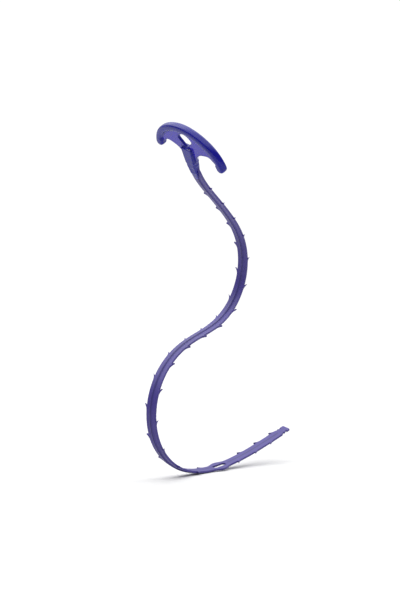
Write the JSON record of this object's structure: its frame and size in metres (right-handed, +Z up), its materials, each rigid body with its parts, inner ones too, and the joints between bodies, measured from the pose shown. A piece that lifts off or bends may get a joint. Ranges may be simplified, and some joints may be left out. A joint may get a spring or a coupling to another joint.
{
  "type": "drain hair removal strip",
  "caption": "Flexible moulded strip with staggered back-pointing barbs, a central rib, a slotted eyelet near its tip and a crescent finger grip with a hang hole.",
  "frame": {"origin": "centre of the hang hole, in the grip's middle plane", "axes": "+Z up; +X is the side that the strip's lower curve and tip reach towards; +Y is across the strip's width, towards its left edge seen from the grip"},
  "size_m": [0.1886, 0.0814, 0.2863],
  "materials": {
    "grip_plastic": "translucent blue-violet moulded plastic, smooth satin gloss",
    "strip_plastic": "translucent blue-violet moulded plastic, smooth satin gloss, paler where it is thin"
  },
  "bodies": {
    "grip": {"grip_rim": "grip_plastic", "grip_web": "grip_plastic", "neck_blade": "strip_plastic", "neck_foot": "strip_plastic", "neck_rib": "strip_plastic", "neck_stem": "grip_plastic"},
    "section_01": {"blade_01": "strip_plastic", "rib_01": "strip_plastic"},
    "section_02": {"blade_02": "strip_plastic", "rib_02": "strip_plastic"},
    "section_03": {"blade_03": "strip_plastic", "rib_03": "strip_plastic"},
    "section_04": {"blade_04": "strip_plastic", "rib_04": "strip_plastic"},
    "section_05": {"blade_05": "strip_plastic", "rib_05": "strip_plastic"},
    "section_06": {"blade_06": "strip_plastic", "rib_06": "strip_plastic"},
    "section_07": {"blade_07": "strip_plastic", "rib_07": "strip_plastic"},
    "section_08": {"blade_08": "strip_plastic", "rib_08": "strip_plastic"},
    "section_09": {"blade_09": "strip_plastic", "rib_09": "strip_plastic"},
    "section_10": {"blade_10": "strip_plastic", "rib_10": "strip_plastic"},
    "section_11": {"blade_11": "strip_plastic", "rib_11": "strip_plastic"},
    "section_12": {"blade_12": "strip_plastic", "rib_12": "strip_plastic"},
    "section_13": {"blade_13": "strip_plastic", "rib_13": "strip_plastic"},
    "section_14": {"blade_14": "strip_plastic", "rib_14": "strip_plastic"},
    "section_15": {"blade_15": "strip_plastic", "rib_15": "strip_plastic"},
    "section_16": {"blade_16": "strip_plastic", "rib_16": "strip_plastic"},
    "section_17": {"blade_17": "strip_plastic", "rib_17": "strip_plastic"},
    "section_18": {"blade_18": "strip_plastic", "rib_18": "strip_plastic"},
    "section_19": {"blade_19": "strip_plastic", "rib_19": "strip_plastic"},
    "section_20": {"blade_20": "strip_plastic", "rib_20": "strip_plastic", "tip": "strip_plastic"}
  },
  "joints": [
    {"name": "flex_01", "type": "hinge", "parent": "grip", "child": "section_01", "pos_m": [0.03576, 0.01044, -0.02986], "axis": [0.0588, -0.9636, -0.2608], "range_deg": [-8, 8], "stiffness_Nm_per_rad": 0.68},
    {"name": "flex_02", "type": "hinge", "parent": "section_01", "child": "section_02", "pos_m": [0.05855, 0.01464, -0.04024], "axis": [0.0647, -0.9665, -0.2485], "range_deg": [-8.2, 8.2]},
    {"name": "flex_03", "type": "hinge", "parent": "section_02", "child": "section_03", "pos_m": [0.08135, 0.01884, -0.05063], "axis": [-0.071, 0.9691, 0.2363], "range_deg": [-5.1, 1.3]},
    {"name": "flex_04", "type": "hinge", "parent": "section_03", "child": "section_04", "pos_m": [0.10309, 0.02342, -0.06289], "axis": [-0.079, 0.9712, 0.225], "range_deg": [-14.8, 3.4]},
    {"name": "flex_05", "type": "hinge", "parent": "section_04", "child": "section_05", "pos_m": [0.12079, 0.02884, -0.08008], "axis": [-0.0905, 0.9719, 0.2171], "range_deg": [-27.3, 6.1]},
    {"name": "flex_06", "type": "hinge", "parent": "section_05", "child": "section_06", "pos_m": [0.12834, 0.03472, -0.10322], "axis": [-0.1044, 0.9707, 0.2166], "range_deg": [-35.1, 7.7], "stiffness_Nm_per_rad": 1},
    {"name": "flex_07", "type": "hinge", "parent": "section_06", "child": "section_07", "pos_m": [0.12089, 0.03914, -0.12663], "axis": [-0.1156, 0.9676, 0.2243], "range_deg": [-32.4, 7.3]},
    {"name": "flex_08", "type": "hinge", "parent": "section_07", "child": "section_08", "pos_m": [0.10183, 0.04065, -0.14299], "axis": [-0.0945, 0.9785, 0.1836], "range_deg": [-19.6, 4.5]},
    {"name": "flex_09", "type": "hinge", "parent": "section_08", "child": "section_09", "pos_m": [0.07829, 0.04014, -0.1524], "axis": [-0.0819, 0.9869, 0.139], "range_deg": [-4, 1]},
    {"name": "flex_10", "type": "hinge", "parent": "section_09", "child": "section_10", "pos_m": [0.05417, 0.03925, -0.16029], "axis": [0.0661, -0.9933, -0.095], "range_deg": [-9.7, 2.3]},
    {"name": "flex_11", "type": "hinge", "parent": "section_10", "child": "section_11", "pos_m": [0.03173, 0.03888, -0.17201], "axis": [0.0391, -0.9976, -0.0567], "range_deg": [-19.7, 4.5]},
    {"name": "flex_12", "type": "hinge", "parent": "section_11", "child": "section_12", "pos_m": [0.01453, 0.03925, -0.19045], "axis": [-0.0012, -0.9995, -0.0324], "range_deg": [-26.7, 6]},
    {"name": "flex_13", "type": "hinge", "parent": "section_12", "child": "section_13", "pos_m": [0.0074, 0.04004, -0.21453], "axis": [-0.0483, -0.9984, -0.0308], "range_deg": [-30, 6.6], "stiffness_Nm_per_rad": 1.46},
    {"name": "flex_14", "type": "hinge", "parent": "section_13", "child": "section_14", "pos_m": [0.01325, 0.04051, -0.23893], "axis": [-0.0894, -0.9946, -0.0534], "range_deg": [-29.4, 6.6]},
    {"name": "flex_15", "type": "hinge", "parent": "section_14", "child": "section_15", "pos_m": [0.03028, 0.03997, -0.25744], "axis": [-0.1151, -0.989, -0.0926], "range_deg": [-24.8, 5.6]},
    {"name": "flex_16", "type": "hinge", "parent": "section_15", "child": "section_16", "pos_m": [0.05348, 0.03819, -0.26725], "axis": [-0.1244, -0.9825, -0.1383], "range_deg": [-18.3, 4.2]},
    {"name": "flex_17", "type": "hinge", "parent": "section_16", "child": "section_17", "pos_m": [0.07855, 0.03532, -0.26939], "axis": [-0.1231, -0.9796, -0.159], "range_deg": [-6, 9], "stiffness_Nm_per_rad": 1.36},
    {"name": "flex_18", "type": "hinge", "parent": "section_17", "child": "section_18", "pos_m": [0.10348, 0.03169, -0.26633], "axis": [-0.1185, -0.9766, -0.1792], "range_deg": [-6.2, 9.2]},
    {"name": "flex_19", "type": "hinge", "parent": "section_18", "child": "section_19", "pos_m": [0.12777, 0.02761, -0.26018], "axis": [-0.112, -0.9736, -0.1989], "range_deg": [-6.2, 9.2]},
    {"name": "flex_20", "type": "hinge", "parent": "section_19", "child": "section_20", "pos_m": [0.14843, 0.02383, -0.2533], "axis": [-0.1044, -0.9703, -0.2181], "range_deg": [-6.2, 9.2]}
  ],
  "couplings": [
    {"joint": "flex_02", "follows": "flex_01", "ratio": 1},
    {"joint": "flex_03", "follows": "flex_06", "ratio": 0.139},
    {"joint": "flex_04", "follows": "flex_06", "ratio": 0.416},
    {"joint": "flex_05", "follows": "flex_06", "ratio": 0.771},
    {"joint": "flex_07", "follows": "flex_06", "ratio": 0.917},
    {"joint": "flex_08", "follows": "flex_06", "ratio": 0.553},
    {"joint": "flex_09", "follows": "flex_06", "ratio": 0.107},
    {"joint": "flex_10", "follows": "flex_13", "ratio": 0.317},
    {"joint": "flex_11", "follows": "flex_13", "ratio": 0.65},
    {"joint": "flex_12", "follows": "flex_13", "ratio": 0.884},
    {"joint": "flex_14", "follows": "flex_13", "ratio": 0.973},
    {"joint": "flex_15", "follows": "flex_13", "ratio": 0.821},
    {"joint": "flex_16", "follows": "flex_13", "ratio": 0.605},
    {"joint": "flex_18", "follows": "flex_17", "ratio": 1},
    {"joint": "flex_19", "follows": "flex_17", "ratio": 1},
    {"joint": "flex_20", "follows": "flex_17", "ratio": 1}
  ]
}
